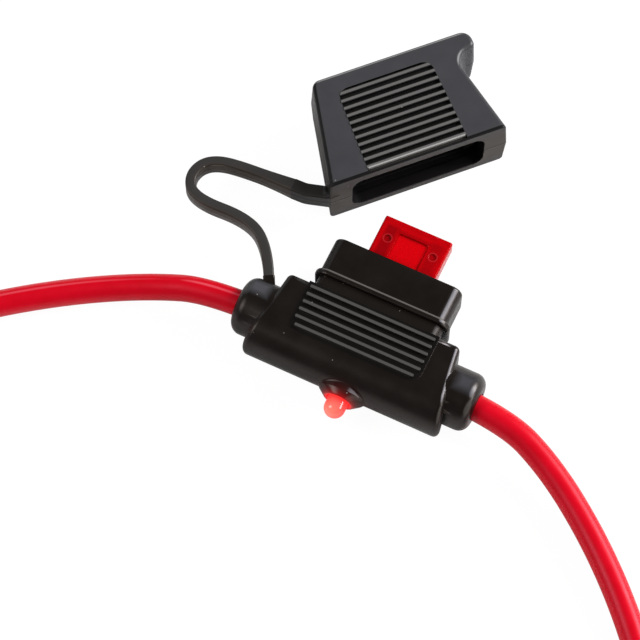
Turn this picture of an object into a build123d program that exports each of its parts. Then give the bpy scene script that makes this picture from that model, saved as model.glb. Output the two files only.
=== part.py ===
from build123d import *

import os
from math import cos, pi, radians, sin, tan

# Inline holder for one standard blade fuse: a soft moulded housing with a lead
# at each end, a cap on a moulded strap, and a lamp that shows a blown fuse.
# Millimetres. X runs along the leads, Y points from the lamp to the fuse, and
# Z is up. The holder lies on Z = 0, below the crossing of the lead axis and the
# fuse axis. Everything is drawn about its middle plane and lifted at the end.

# Shared sizes
thickness = 17.4  # of the housing, over its grip ribs
rib_pitch = 2.25
rib_width = 1.1

# Housing: a bar with a D-shaped section, flat towards the fuse
body_thick = 15.8
body_top = 10.1  # Y of the flat side
body_bottom = -11.9  # Y of the round side
body_top_half = 24.1  # half the length, on the flat side
body_bottom_half = 28.0  # half the length, on the round side
body_end_sag = 0.35  # the ends are slightly hollow in plan
body_edge_round = 1.4
body_end_round = 1.5

# Grip ribs of the housing, on a low flat pad
pad_half = 18.3
pad_bottom = -4.1
pad_corner = 3.2
pad_stand = 0.12
body_ribs = 6
last_rib_in = 0.9  # the last rib is this much shorter at each end, by the corners
body_rib_first = 8.65  # Y of the rib nearest the fuse
body_rib_half = 17.5

# Collars round the leads
collar_d = 15.6
collar_end = 33.5  # X of both end faces
collar_round = 3.0

# Neck that the cap is pushed over, with a sealing bead at its root
neck_width = 36.0
neck_thick = 12.6
neck_corner = 3.0
neck_end = 25.4  # Y of the face that the fuse stands on
neck_end_round = 0.9
waist_step = 0.45  # the neck is this much slimmer below the bead
bead_y = 14.7
bead_length = 1.9
bead_corner = 0.8  # its corners are this much larger than the neck's
bead_stand = 1.0
broad_share = 0.7  # of the bead and of the bore's clearance, on the broad sides

# Fuse: a coloured body, and a stamped element with two blades
fuse_width = 19.1
fuse_thick = 5.1
fuse_height = 12.3
fuse_seat_gap = 0.15
fuse_pocket_half = 4.3  # half the width of the window between the blades
fuse_window_depth = 0.45
fuse_head = 3.4  # height of the plain band above the window
stake_x = 6.45
stake_drop = 6.0  # from the top of the fuse to the stakes
stake_d = 2.0
stake_depth = 0.4
probe_size = (1.8, 1.5)  # openings for a test probe, over each blade
blade_x = 5.0  # middle of each blade
blade_width = 5.2
blade_thick = 0.65
blade_reach = 6.3  # below the fuse body
element_inner = 4.6  # inner edge of the element beside the window
element_outer = 8.3
element_top_drop = 1.7
link_width = 1.1
link_y = 6.6  # middle of the link, above the bottom of the fuse body
fuse_clear = 0.1

# Terminals: a rolled receptacle for the blade, a joggled strip, and a crimp
strip_thick = 0.4
receptacle_clear = 0.1  # between the blade and the base of its receptacle
receptacle_top = 0.5  # below the face of the neck
receptacle_length = 7.8
curl_radius = 1.15  # outer radius of the two rolled sides
strip_width = 6.0
strip_end = -3.2
joggle_y = (9.5, 5.5)
crimp_wall = 0.6
crimp_length = 7.0
crimp_start = 9.4  # X of the crimp's inner end
terminal_clear = 0.1

# Leads: a stranded core in a thick sleeve
lead_d = 7.0
core_d = 4.1
core_clear = 0.05
lead_start = 21.5  # X of the sleeve's inner end
lead_clear = 0.05
bare_length = 8.0
bare_d = 3.5  # the strands are twisted tight and tinned where they are bare

# Lamp: a light-emitting diode and its series resistor
lamp_x = 1.0
lamp_d = 5.6
lamp_tip = -18.7
lamp_flange_d = 6.4
lamp_flange = 1.0
lamp_length = 8.6
lamp_clear = 0.05
boss_base = (12.8, 9.4)  # along the leads and across them, where the boss leaves the round side
boss_shoulder = -12.2  # Y from where it narrows
boss_end_d = 8.0
boss_end = -14.0
boss_rounds = (0.8, 1.0, 0.5)  # at its root, its shoulder and its end
boss_dish = 0.7  # depth of the dished seat round the lamp
wire_d = 0.5
lamp_leg = 1.27  # each leg from the lamp's axis
leg_depth = 3.2  # inside the lens
anvil = 1.5  # height of the leg's wide head
head_width = 1.5
die_size = (0.3, 0.2, 0.3)
die_drop = 0.25  # of the die's middle, in the cup
bond_d = 0.08
bond_rise = 0.5  # of the bond wire, ahead of the heads
mould_clear = 0.03  # of what is cast into the lens
pocket_top = -1.5
resistor_d = 1.9
resistor_length = 3.6
resistor_y = -6.2
resistor_gap = 0.7  # from the lamp's leg to the resistor
resistor_bend = 0.9  # from the resistor to the bend of its lead
resistor_shell = (0.8, 0.15)  # outer radius and wall of its pressed end caps
shell_in = (0.2, 0.75)  # from the resistor's end to the closed face and to the lip of an end cap
wire_overlap = 0.9  # of the wires on the strips
wire_on_strip = 3.8  # X of the cathode's wire where it lies on the strip
jog = (1.7, 3.2)  # from the lens to the start and the end of the jog in the cathode's wire

# Cap, drawn with its mouth on Y = 0
cap_thick = 19.0  # over its grip ribs
cap_mouth_half = 25.2
cap_top_half = 18.7
cap_length = 31.4
cap_rib_stand = 0.15
cap_draft = 3.0
mouth_lean = 0.3  # the mouth's face stands out this much at the parting line
mouth_round = 0.4
cap_edge_round = 1.2
cap_corner = 2.9
cap_turn = 46.4  # from the housing, as it lies
cap_at = (-7.35, 53.15)  # middle of the mouth
mouth_clear = 0.65  # the cap's bore round the neck
groove_from = 3.4  # from the mouth to the groove that takes the neck's bead
groove_length = 2.1
cap_top_wall = 3.6
tab_reach = 7.9  # of the finger tab, past the cap's straight top
tab_below = 6.0  # the tab's height
tab_root = 3.6
tab_nose = 1.9
tab_corner = 3.4
recess_half = 13.9
recess_slope = 0.03
recess_from = 0.8
recess_to = 25.9
recess_corner = 3.0
recess_depth = 0.85
cap_ribs = 11

# Strap between the collar and the cap
strap_width = 2.8
strap_height = 4.8
strap_root = (0.45, 0.15)  # the roots on the cap and the collar are this much larger all round
strap_path = [
    (-27.2, 36.3),
    (-31.6, 35.0),
    (-49.5, 34.6),
    (-58.7, 32.5),
    (-61.4, 26.3),
    (-57.6, 20.8),
    (-41.0, 21.7),
    (-33.3, 15.9),
    (-29.7, 9.1),
]
strap_radii = [7, 28, 5.6, 5.5, 5.5, 9, 9]
root_depth = 3.2
root_reach = 3.5  # the root on the cap follows the strap this far past its first bend
strap_corner = 0.5

# Routes of the leads, from inside the collar to the stripped end; the height is
# of the lead's middle above the surface
mid = thickness / 2
rest = lead_d / 2
left_route = [
    (-lead_start, 0, mid),
    (-41.5, 0, mid),
    (-57.5, -4.9, 5.7),
    (-74.2, -13.4, 4.0),
    (-90.5, -24.6, rest),
    (-105.3, -37.4, rest),
    (-118.0, -51.0, rest),
]
right_route = [
    (lead_start, 0, mid),
    (41.0, 0, mid),
    (56.8, -6.3, 6.3),
    (72.6, -17.2, 4.5),
    (86.6, -29.9, rest),
    (99.0, -44.4, rest),
    (109.2, -60.8, rest),
]

body_half = body_thick / 2
rib_top = thickness / 2
tab_out = cap_top_half + tab_reach
cap_rib_top = cap_thick / 2
cap_half = cap_rib_top - cap_rib_stand
cap_lift = cap_rib_top - rib_top  # both lie on the surface, so the cap's middle is higher
AHEAD = Plane(origin=(0, 0, 0), x_dir=(1, 0, 0), z_dir=(0, 1, 0))  # its normal points to the fuse


def across(y):
    """The plane across the fuse axis at y, with its normal towards the fuse."""
    return AHEAD.offset(y)


def rod(radius, start, end):
    """A cylinder along X between two places."""
    return extrude(Plane.YZ.offset(start) * Circle(radius), end - start)


def pipe(outer, inner, start, end):
    """A tube along X between two places."""
    return rod(outer, start, end) - rod(inner, start, end)


def peg(radius, start, end):
    """A cylinder along Y between two places."""
    return extrude(across(start) * Circle(radius), end - start)


def block(x, y, z):
    """A box between two places on each axis."""
    middle = [(a + b) / 2 for a, b in (x, y, z)]
    return Pos(*middle) * Box(*[b - a for a, b in (x, y, z)])


def neck_outline(y, wide, broad, corner):
    """The neck's rounded outline at y, grown at its narrow ends, on its broad sides and at its corners."""
    return across(y) * RectangleRounded(neck_width + 2 * wide, neck_thick + 2 * broad, neck_corner + corner)


def strap_section(start, towards, grow=0.0):
    """The strap's rounded section at start, larger by grow all round."""
    section = RectangleRounded(strap_height + 2 * grow, strap_width + 2 * grow, strap_corner)
    return Plane(origin=start, x_dir=(0, 0, 1), z_dir=towards - start) * section


def strap_root_from(start, towards, grow, depth):
    """The moulded root of the strap, from start along the line away from towards."""
    return extrude(strap_section(start, towards, grow), -depth)


# The strap comes down from the cap's middle plane to the housing's
strap_steps = len(strap_path) - 1
strap_corners = [Vector(x, y, cap_lift * (1 - i / strap_steps)) for i, (x, y) in enumerate(strap_path)]


# Housing
round_y = body_bottom + body_half
section = make_face(
    Plane.YZ
    * (
        Line((body_top, -body_half), (body_top, body_half))
        + Line((body_top, body_half), (round_y, body_half))
        + ThreePointArc((round_y, body_half), (body_bottom, 0), (round_y, -body_half))
        + Line((round_y, -body_half), (body_top, -body_half))
    )
)
bar = extrude(section, 3 * body_bottom_half, both=True)
bar = fillet(bar.edges().filter_by(Axis.X).group_by(Axis.Y)[-1], body_edge_round)
middle_half = (body_top_half + body_bottom_half) / 2 - body_end_sag
middle_y = (body_top + body_bottom) / 2
plan = make_face(
    Line((-body_top_half, body_top), (body_top_half, body_top))
    + ThreePointArc((body_top_half, body_top), (middle_half, middle_y), (body_bottom_half, body_bottom))
    + Line((body_bottom_half, body_bottom), (-body_bottom_half, body_bottom))
    + ThreePointArc((-body_bottom_half, body_bottom), (-middle_half, middle_y), (-body_top_half, body_top))
)
body = bar & extrude(plan, thickness, both=True)
ends = body.faces().filter_by(GeomType.CYLINDER).sort_by(Axis.X)
end_edges = ends[0].edges() + ends[-1].edges()
body = fillet(end_edges, body_end_round)

# the pad, proud of the broad sides, with its ribs
pad_corners = [(-pad_half, body_top), (pad_half, body_top), (pad_half, pad_bottom), (-pad_half, pad_bottom)]
pad_plan = make_face(Polyline(*pad_corners, close=True))
pad_plan = fillet(pad_plan.vertices().group_by(Axis.Y)[0], pad_corner)
body += extrude(pad_plan, body_half + pad_stand, both=True)
rib_plan = Sketch()
for i in range(body_ribs):
    half = body_rib_half - (last_rib_in if i == body_ribs - 1 else 0)
    rib_plan += Pos(0, body_rib_first - i * rib_pitch) * SlotOverall(2 * half, rib_width)
body += extrude(rib_plan, rib_top, both=True)

# the neck, its waist and the bead
neck_root = body_top - 2
bead_foot = bead_y - bead_length / 2
waist = extrude(neck_outline(neck_root, -waist_step, -waist_step, -waist_step), bead_y - neck_root)
neck = extrude(neck_outline(bead_foot, 0, 0, 0), neck_end - bead_foot)
neck = fillet(neck.faces().sort_by(Axis.Y)[-1].edges(), neck_end_round)
bead = extrude(neck_outline(bead_foot, bead_stand, bead_stand * broad_share, bead_corner), bead_length)
bead = fillet(bead.faces().filter_by(Axis.Y).edges(), bead_length * 0.4)
housing = body + waist + neck + bead

# the collars
collar_profile = Polyline((0, 0), (0, collar_d / 2), (collar_end, collar_d / 2), (collar_end, 0), close=True)
collar = revolve(make_face(collar_profile), Axis.X)
collar = fillet(collar.edges().filter_by(GeomType.CIRCLE).sort_by(Axis.X)[-1], collar_round)
housing += collar + mirror(collar, Plane.YZ)

# the boss round the lamp
foot = Ellipse(boss_base[0] / 2, boss_base[1] / 2)
boss_sections = [across(y) * foot for y in (round_y, boss_shoulder)]
boss_sections.append(across(boss_end) * Ellipse(boss_end_d / 2 + 0.01, boss_end_d / 2))
boss = Pos(lamp_x, 0, 0) * loft(boss_sections, ruled=True)
shoulder_edge = boss.edges().filter_by(GeomType.ELLIPSE).sort_by(Axis.Y)[1]
boss = fillet(shoulder_edge, boss_rounds[1])
boss = fillet(boss.edges().sort_by(Axis.Y)[0], boss_rounds[2])
edges_before = housing.edges()
housing += boss
boss_root = [e for e in housing.edges() - edges_before if body_bottom - 0.1 < e.center().Y < round_y]
housing = fillet(boss_root, boss_rounds[0])

# the strap's root on the collar
housing += strap_root_from(strap_corners[-1], strap_corners[-2], strap_root[1], root_depth)


# Terminals
def receptacle(length):
    """The rolled receptacle, standing on the plane of its lower end."""
    base_top = -blade_thick / 2 - receptacle_clear
    base = base_top - strip_thick
    curl_x = blade_width / 2 - 0.05
    curl_z = base + curl_radius
    profile = Pos(0, (base + base_top) / 2) * Rectangle(2 * curl_x, strip_thick)
    ring = Circle(curl_radius) - Circle(curl_radius - strip_thick)
    kept_side = [(0, 0), (0, -3), (3, -3), (3, 3), (-3, 3), (-3, 0.75)]
    keep = make_face(Polyline(*kept_side, close=True))
    curl = ring & keep
    profile += Pos(curl_x, curl_z) * curl + Pos(-curl_x, curl_z) * mirror(curl, Plane.YZ)
    return extrude(profile, length), base


receptacle_y = neck_end - receptacle_top - receptacle_length
upright = Plane(origin=(0, receptacle_y, 0), x_dir=(-1, 0, 0), z_dir=(0, 1, 0))
rolled, strip_base = receptacle(receptacle_length)
rolled = upright * rolled
crimp_inner = core_d / 2 + core_clear
crimp_outer = crimp_inner + crimp_wall
low = -crimp_outer
strip_line = [(receptacle_y + 0.5, strip_base), (joggle_y[0], strip_base)]
strip_line += [(joggle_y[1], low), (strip_end, low)]
strip_outline = strip_line + [(y, z + strip_thick) for y, z in reversed(strip_line)]
strip = extrude(Plane.YZ * make_face(Polyline(*strip_outline, close=True)), strip_width / 2, both=True)
terminal = Pos(blade_x, 0, 0) * (rolled + strip)
trough = pipe(crimp_outer, crimp_inner, blade_x, crimp_start)
trough &= block((0, lead_start), (-lead_d, lead_d), (-2 * crimp_outer, -0.6 * crimp_outer))
terminal += pipe(crimp_outer, crimp_inner, crimp_start, crimp_start + crimp_length) + trough
terminal_right = terminal
terminal_left = mirror(terminal, Plane.YZ)


# Leads
def lead(route, sign):
    """The sleeve and the core of a lead, from the corner points of its route."""
    corners = [Vector(*p) - Vector(0, 0, mid) for p in route]
    runs = [b - a for a, b in zip(corners, corners[1:])]
    radii = []
    for a, b in zip(runs, runs[1:]):
        turn = radians(a.get_angle(b))
        radii.append(0.45 * min(a.length, b.length) / tan(turn / 2))
    path = FilletPolyline(*corners, radius=radii)
    ring = Circle(lead_d / 2) - Circle(core_d / 2 + core_clear)
    sleeve = sweep(Plane(origin=corners[0], z_dir=runs[0]) * ring, path)
    inner = Vector(sign * (crimp_start + 0.3), 0, 0)
    core_path = FilletPolyline(inner, *corners[1:], radius=radii)
    core = sweep(Plane(origin=inner, z_dir=runs[0]) * Circle(core_d / 2), core_path)
    stripped_end = Plane(origin=corners[-1], z_dir=runs[-1])
    core_expected = pi * (core_d / 2) ** 2 * core_path.length
    sleeve_expected = pi * ((lead_d / 2) ** 2 - (core_d / 2 + core_clear) ** 2) * path.length
    print(f"core volume {core.volume:.1f}, section times length {core_expected:.1f}")
    print(f"sleeve volume {sleeve.volume:.1f}, section times length {sleeve_expected:.1f}")
    core += extrude(stripped_end.offset(-1) * Circle(bare_d / 2), bare_length + 1)
    free = path.length - (collar_end - lead_start)
    print(f"lead of {free:.1f} mm outside its collar, {free + bare_length:.1f} mm with the bare end")
    return sleeve, core


lead_left, core_left = lead(left_route, -1)
lead_right, core_right = lead(right_route, 1)

# Lamp
lamp_base = lamp_tip + lamp_length
dome_y = lamp_tip + lamp_d / 2
dome_half = lamp_d / 2 * sin(pi / 4)
lens_profile = make_face(
    Line((0, lamp_base), (lamp_flange_d / 2, lamp_base))
    + Line((lamp_flange_d / 2, lamp_base), (lamp_flange_d / 2, lamp_base - lamp_flange))
    + Line((lamp_flange_d / 2, lamp_base - lamp_flange), (lamp_d / 2, lamp_base - lamp_flange))
    + Line((lamp_d / 2, lamp_base - lamp_flange), (lamp_d / 2, dome_y))
    + ThreePointArc((lamp_d / 2, dome_y), (dome_half, dome_y - dome_half), (0, lamp_tip))
    + Line((0, lamp_tip), (0, lamp_base))
)
leg_end = lamp_base - leg_depth


def leg_head(x, cup):
    """The flat head of a leg inside the lens, with a cup for the die or plain."""
    head = Box(head_width, anvil, wire_d + 0.2, align=(Align.CENTER, Align.MAX, Align.CENTER))
    if cup:
        head -= Pos(0, -anvil, 0) * Rot(90, 0, 0) * Cone(0.25, 0.5, 0.7)
    return Pos(x, leg_end + anvil, 0) * head


def wire(points, radius=0.6, size=wire_d):
    """A bent round wire through the points."""
    path = FilletPolyline(*points, radius=radius) if len(points) > 2 else Line(*points)
    first = Vector(*points[1]) - Vector(*points[0])
    return sweep(Plane(origin=points[0], z_dir=first) * Circle(size / 2), path)


wire_z = low + strip_thick + wire_d / 2 + 0.02  # lying on the strips
wire_end = strip_end + wire_overlap
leg_left = lamp_x - lamp_leg
leg_right = lamp_x + lamp_leg
leg_start = leg_end + anvil / 2
resistor_half = resistor_length / 2
resistor_x = leg_right + resistor_gap + resistor_half
shell_face = resistor_half - shell_in[0]
lamp_cathode = wire(
    [
        (leg_left, leg_start, 0),
        (leg_left, lamp_base + jog[0], 0),
        (leg_left, lamp_base + jog[1], wire_z),
        (-wire_on_strip, lamp_base + jog[1], wire_z),
        (-wire_on_strip, wire_end, wire_z),
    ]
)
lamp_cathode += leg_head(leg_left, True)
anode_line = [(leg_right, leg_start, 0), (leg_right, resistor_y, 0), (resistor_x - shell_face, resistor_y, 0)]
lamp_anode = wire(anode_line)
lamp_anode += leg_head(leg_right, False)

# the resistor: a lacquered rod that is thicker over its two pressed end caps
lacquer = [
    (0, 0),
    (0, resistor_d * 0.4),
    (resistor_half / 2, resistor_d * 0.4),
    (resistor_half / 2, resistor_d / 2),
    (resistor_half, resistor_d / 2),
    (resistor_half, 0),
]
resistor = revolve(make_face(Polyline(*lacquer, close=True)), Axis.X)
resistor = fillet(resistor.edges().filter_by(GeomType.CIRCLE).group_by(Axis.X)[-1], 0.35)
shell_radius, shell_wall = resistor_shell
shell_lip = resistor_half - shell_in[1]
shell = rod(shell_radius, shell_lip, shell_face) - rod(shell_radius - shell_wall, 0, shell_face - shell_wall)
shell_room = rod(shell_radius + 0.02, shell_lip - 0.02, shell_face + 0.02)
shell_room -= rod(shell_radius - shell_wall - 0.02, 0, shell_face - shell_wall - 0.02)
resistor -= shell_room + rod(wire_d / 2 + 0.02, shell_face, resistor_length)
resistor += mirror(resistor, Plane.YZ)
seat_resistor = Pos(resistor_x, resistor_y, 0)
resistor = seat_resistor * resistor
resistor_cap_left = seat_resistor * mirror(shell, Plane.YZ)
resistor_cap_right = seat_resistor * shell
bend_x = resistor_x + resistor_half + resistor_bend
resistor_lead = wire(
    [
        (resistor_x + shell_face, resistor_y, 0),
        (bend_x, resistor_y, 0),
        (bend_x, resistor_y + 1.6, wire_z),
        (bend_x, wire_end, wire_z),
    ],
    0.4,
)

# the die in the cathode's cup, and the fine wire from it to the anode
lamp_die = Pos(leg_left, leg_end + die_drop, 0) * Box(*die_size)
bond_line = [
    (leg_left, leg_end + die_drop - die_size[1] / 2, 0),
    (leg_left, leg_end - bond_rise, 0),
    (leg_right, leg_end - bond_rise, 0),
    (leg_right, leg_end, 0),
]
lamp_bond = wire(bond_line, 0.4, bond_d)

# the lens, cast round the legs
lens = Pos(lamp_x, 0, 0) * revolve(lens_profile, Axis.Y)
head_half = head_width / 2 + mould_clear
for x in (leg_left, leg_right):
    head_room = (-mould_clear, anvil + mould_clear)
    lens -= Pos(x, leg_end, 0) * block(
        (-head_half, head_half), head_room, (-wire_d / 2 - 0.1 - mould_clear, wire_d / 2 + 0.1 + mould_clear)
    )
    lens -= Pos(x, 0, 0) * peg(wire_d / 2 + mould_clear, leg_end + anvil, lamp_base + 1)
lens -= wire(bond_line, 0.4, bond_d + 2 * mould_clear)

# Openings in the housing for what it holds
bore = rod(lead_d / 2 + lead_clear, lead_start, collar_end + 1)
crimp_bore = rod(crimp_outer + terminal_clear, blade_x - strip_width / 2 - terminal_clear, lead_start + 0.1)
pocket_half = blade_width / 2 - 0.05 + curl_radius + terminal_clear
pocket_high = 2 * curl_radius - blade_thick / 2 - receptacle_clear - strip_thick + terminal_clear
receptacle_pocket = block(
    (-pocket_half, pocket_half),
    (receptacle_y - 0.2, receptacle_y + receptacle_length + terminal_clear),
    (strip_base - terminal_clear, pocket_high),
)
slot_half = blade_width / 2 + 0.4
slot_thick = blade_thick / 2 + 0.3
blade_slot = block((-slot_half, slot_half), (receptacle_y, neck_end + 1), (-slot_thick, slot_thick))
channel_outline = [
    (receptacle_y + 1, strip_base - terminal_clear),
    (joggle_y[0] + 0.1, strip_base - terminal_clear),
    (joggle_y[1] + 0.1, low - terminal_clear),
    (strip_end - 0.2, low - terminal_clear),
    (strip_end - 0.2, low + strip_thick + terminal_clear),
    (joggle_y[1] - 0.1, low + strip_thick + terminal_clear),
    (joggle_y[0] - 0.1, strip_base + strip_thick + terminal_clear),
    (receptacle_y + 1, strip_base + strip_thick + terminal_clear),
]
channel_plan = Plane.YZ * make_face(Polyline(*channel_outline, close=True))
channel = extrude(channel_plan, strip_width / 2 + terminal_clear, both=True)
seat = bore + crimp_bore + Pos(blade_x, 0, 0) * (receptacle_pocket + blade_slot + channel)
housing -= seat + mirror(seat, Plane.YZ)
flange_foot = lamp_base - lamp_flange - lamp_clear
lamp_bore = peg(lamp_d / 2 + lamp_clear, boss_end - 1, lamp_base)
lamp_bore += peg(lamp_flange_d / 2 + lamp_clear, flange_foot, lamp_base + lamp_clear + 0.4)
housing -= Pos(lamp_x, 0, 0) * lamp_bore
dish = Cone(lamp_d / 2 + lamp_clear, lamp_d / 2 + 1.2 * boss_dish, boss_dish)
housing -= Pos(lamp_x, boss_end + boss_dish / 2, 0) * Rot(90, 0, 0) * dish
circuit_x = (0.5 - blade_x, bend_x + 0.6)
circuit_half = resistor_d / 2 + 0.25
circuit = block(circuit_x, (lamp_base, pocket_top), (-circuit_half, circuit_half))
circuit += block(circuit_x, (lamp_base + 2.0, pocket_top), (wire_z - wire_d, 0))
housing -= circuit

# Fuse
fuse_y = neck_end + fuse_seat_gap
fuse_top = fuse_y + fuse_height
element_plan = make_face(
    Polyline(
        (blade_x - blade_width / 2 + 0.5, fuse_y - blade_reach),
        (blade_x + blade_width / 2 - 0.5, fuse_y - blade_reach),
        (blade_x + blade_width / 2, fuse_y - blade_reach + 0.9),
        (blade_x + blade_width / 2, fuse_y + 1.2),
        (element_outer, fuse_y + 1.2),
        (element_outer, fuse_top - element_top_drop),
        (element_inner, fuse_top - element_top_drop),
        (element_inner, fuse_y + 2.6),
        (blade_x - blade_width / 2, fuse_y + 1.4),
        (blade_x - blade_width / 2, fuse_y - blade_reach + 0.9),
        close=True,
    )
)
element_plan -= Pos(stake_x, fuse_top - stake_drop) * Circle(stake_d / 2 - 0.1)
element_plan += mirror(element_plan, Plane.YZ)
link_half = [(-element_inner - 0.3, -1.6), (-2.2, -1.6), (-2.2, 1.9), (0, 1.9)]
link_line = FilletPolyline(*link_half, *[(-x, -y) for x, y in reversed(link_half)], radius=0.9)
element_plan += Pos(0, fuse_y + link_y) * trace(link_line, link_width)
fuse_element = extrude(element_plan, blade_thick / 2, both=True)

fuse_body = across(fuse_y) * RectangleRounded(fuse_width, fuse_thick, 0.6)
fuse_body = extrude(fuse_body, fuse_height)
fuse_body = fillet(fuse_body.faces().sort_by(Axis.Y)[-1].edges(), 0.45)
fuse_half = fuse_thick / 2
window_top = fuse_top - fuse_head
element_top = fuse_top - element_top_drop
window = block((-fuse_pocket_half, fuse_pocket_half), (fuse_y - 1, window_top), (-fuse_half, fuse_half))
window -= Box(fuse_width, 4 * fuse_top, fuse_thick - 2 * fuse_window_depth)
fuse_body -= fillet(window.edges().filter_by(Axis.Z), 0.8)
element_middle = (element_inner + element_outer) / 2
element_room = (element_outer - element_inner) / 2 + fuse_clear
blade_room = blade_width / 2 + fuse_clear
slot_z = (-blade_thick / 2 - fuse_clear, blade_thick / 2 + fuse_clear)
for side in (-1, 1):
    for z in (-fuse_half, fuse_half):
        fuse_body -= Pos(side * stake_x, fuse_top - stake_drop, z) * Cylinder(stake_d / 2, 2 * stake_depth)
    probe = Box(probe_size[0], 2 * element_top_drop, probe_size[1])
    fuse_body -= Pos(side * element_middle, fuse_top, 0) * probe
    wide = block((-element_room, element_room), (fuse_y - 1, element_top + fuse_clear), slot_z)
    narrow = block((-blade_room, blade_room), (fuse_y - 1, fuse_y + 2.8), slot_z)
    fuse_body -= Pos(side * element_middle, 0, 0) * wide + Pos(side * blade_x, 0, 0) * narrow
hollow_half = fuse_pocket_half + 0.5
fuse_body -= block((-hollow_half, hollow_half), (fuse_y - 1, window_top + 0.6), (-1.1, 1.1))

# Cap
side_slope = (cap_mouth_half - cap_top_half) / cap_length
tab_y = cap_length - tab_below
cap_plan = make_face(
    Polyline(
        (-cap_mouth_half - side_slope, -1),
        (cap_mouth_half + side_slope, -1),
        (cap_mouth_half - side_slope * (tab_y - 1), tab_y - 1),
        (tab_out, tab_y),
        (tab_out, cap_length),
        (-cap_top_half, cap_length),
        close=True,
    )
)
for x, y, radius in (
    (cap_mouth_half - side_slope * (tab_y - 1), tab_y - 1, tab_root),
    (tab_out, tab_y, tab_nose),
    (tab_out, cap_length, tab_corner),
    (-cap_top_half, cap_length, cap_corner),
):
    corner = min(cap_plan.vertices(), key=lambda v: (v.center() - Vector(x, y, 0)).length)
    cap_plan = fillet(corner, radius)
drawn_in = offset(cap_plan, -cap_half * tan(radians(cap_draft)), kind=Kind.INTERSECTION)
upper = loft([cap_plan, Pos(0, 0, cap_half) * drawn_in], ruled=True)
rim = upper.faces().sort_by(Axis.Z)[-1].edges()
upper = fillet([e for e in rim if e.center().Y > 0], cap_edge_round)
above = cap_half + 1
mouth_cut = Polyline((0, 0), (mouth_lean * above / cap_half, above), (-above, above), (-above, 0), close=True)
upper -= extrude(Plane.YZ * make_face(mouth_cut), 2 * cap_mouth_half, both=True)
mouth_face = upper.faces().sort_by(Axis.Y)[0]
upper = fillet([e for e in mouth_face.edges() if e.center().Z > 0.1], mouth_round)
cap = upper + mirror(upper, Plane.XY)
cap -= extrude(neck_outline(-1, mouth_clear, mouth_clear * broad_share, 0.3), cap_length - cap_top_wall + 1)
groove = neck_outline(groove_from, bead_stand + 0.1, bead_stand * broad_share + 0.1, bead_corner)
cap -= extrude(groove, groove_length)

recess_plan = make_face(
    Polyline(
        (-recess_half + recess_slope * recess_from, recess_from),
        (recess_half - recess_slope * recess_from, recess_from),
        (recess_half - recess_slope * recess_to, recess_to),
        (-recess_half + recess_slope * recess_to, recess_to),
        close=True,
    )
)
recess_plan = fillet(recess_plan.vertices().group_by(Axis.Y)[-1], recess_corner)
recess_plan = fillet(recess_plan.vertices().group_by(Axis.Y)[0], 0.4)
floor_half = cap_half - recess_depth
recess = extrude(recess_plan, cap_rib_top, both=True) - Box(4 * recess_half, 4 * recess_to, 2 * floor_half)
cap -= recess
first_cap_rib = recess_to - 1.2
cap_rib_plan = Sketch()
for i in range(cap_ribs):
    cap_rib_plan += Pos(0, first_cap_rib - i * rib_pitch) * Rectangle(2 * recess_half, rib_width)
cap_rib_plan &= recess_plan
bars = extrude(cap_rib_plan, cap_rib_top, both=True)
cap += bars - Box(4 * recess_half, 4 * recess_to, 2 * (floor_half - 0.1))
place_cap = Location((cap_at[0], cap_at[1], cap_lift), (0, 0, cap_turn))
cap = place_cap * cap
past_bend = (strap_corners[2] - strap_corners[1]).normalized()
root_end = strap_corners[1] + past_bend * root_reach
root_line = FilletPolyline(strap_corners[0], strap_corners[1], root_end, radius=strap_radii[0])
cap_root = sweep(strap_section(strap_corners[0], strap_corners[1], strap_root[0]), root_line)
cap_root += strap_root_from(strap_corners[0], strap_corners[1], strap_root[0], root_depth + 1.4)
ahead_of_mouth = block((-2 * cap_mouth_half, 2 * cap_mouth_half), (-cap_length, 0), (-cap_thick, cap_thick))
cap_root -= place_cap * ahead_of_mouth
cap += cap_root

# Strap
strap_line = FilletPolyline(root_end, *strap_corners[2:], radius=strap_radii[1:])
strap = sweep(strap_section(root_end, strap_corners[2]), strap_line)

pieces = {
    "housing": housing,
    "cap": cap,
    "cap_tether": strap,
    "fuse_body": fuse_body,
    "fuse_element": fuse_element,
    "terminal_left": terminal_left,
    "terminal_right": terminal_right,
    "lead_left_core": core_left,
    "lead_right_core": core_right,
    "lead_left_sleeve": lead_left,
    "lead_right_sleeve": lead_right,
    "lamp_lens": lens,
    "lamp_cathode": lamp_cathode,
    "lamp_anode": lamp_anode,
    "lamp_die": lamp_die,
    "lamp_bond": lamp_bond,
    "resistor_body": resistor,
    "resistor_cap_left": resistor_cap_left,
    "resistor_cap_right": resistor_cap_right,
    "resistor_lead": resistor_lead,
}
os.makedirs("parts", exist_ok=True)
for name, piece in pieces.items():
    export_step(Pos(0, 0, mid) * piece, f"parts/{name}.step")
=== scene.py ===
# %% [markdown]
# An inline holder for one blade fuse. A soft black housing has a red lead at
# each end, the fuse stands in its neck, and a cap hangs on a moulded strap. The
# lamp at the front lights up when the fuse has blown.
#
# The rigid pieces come measured from the frame. This script adds what a frame
# can't carry: how each surface takes the light, the smooth lie of the leads and
# of the strap, the strands at the stripped ends, and the glow of the lamp.

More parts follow.
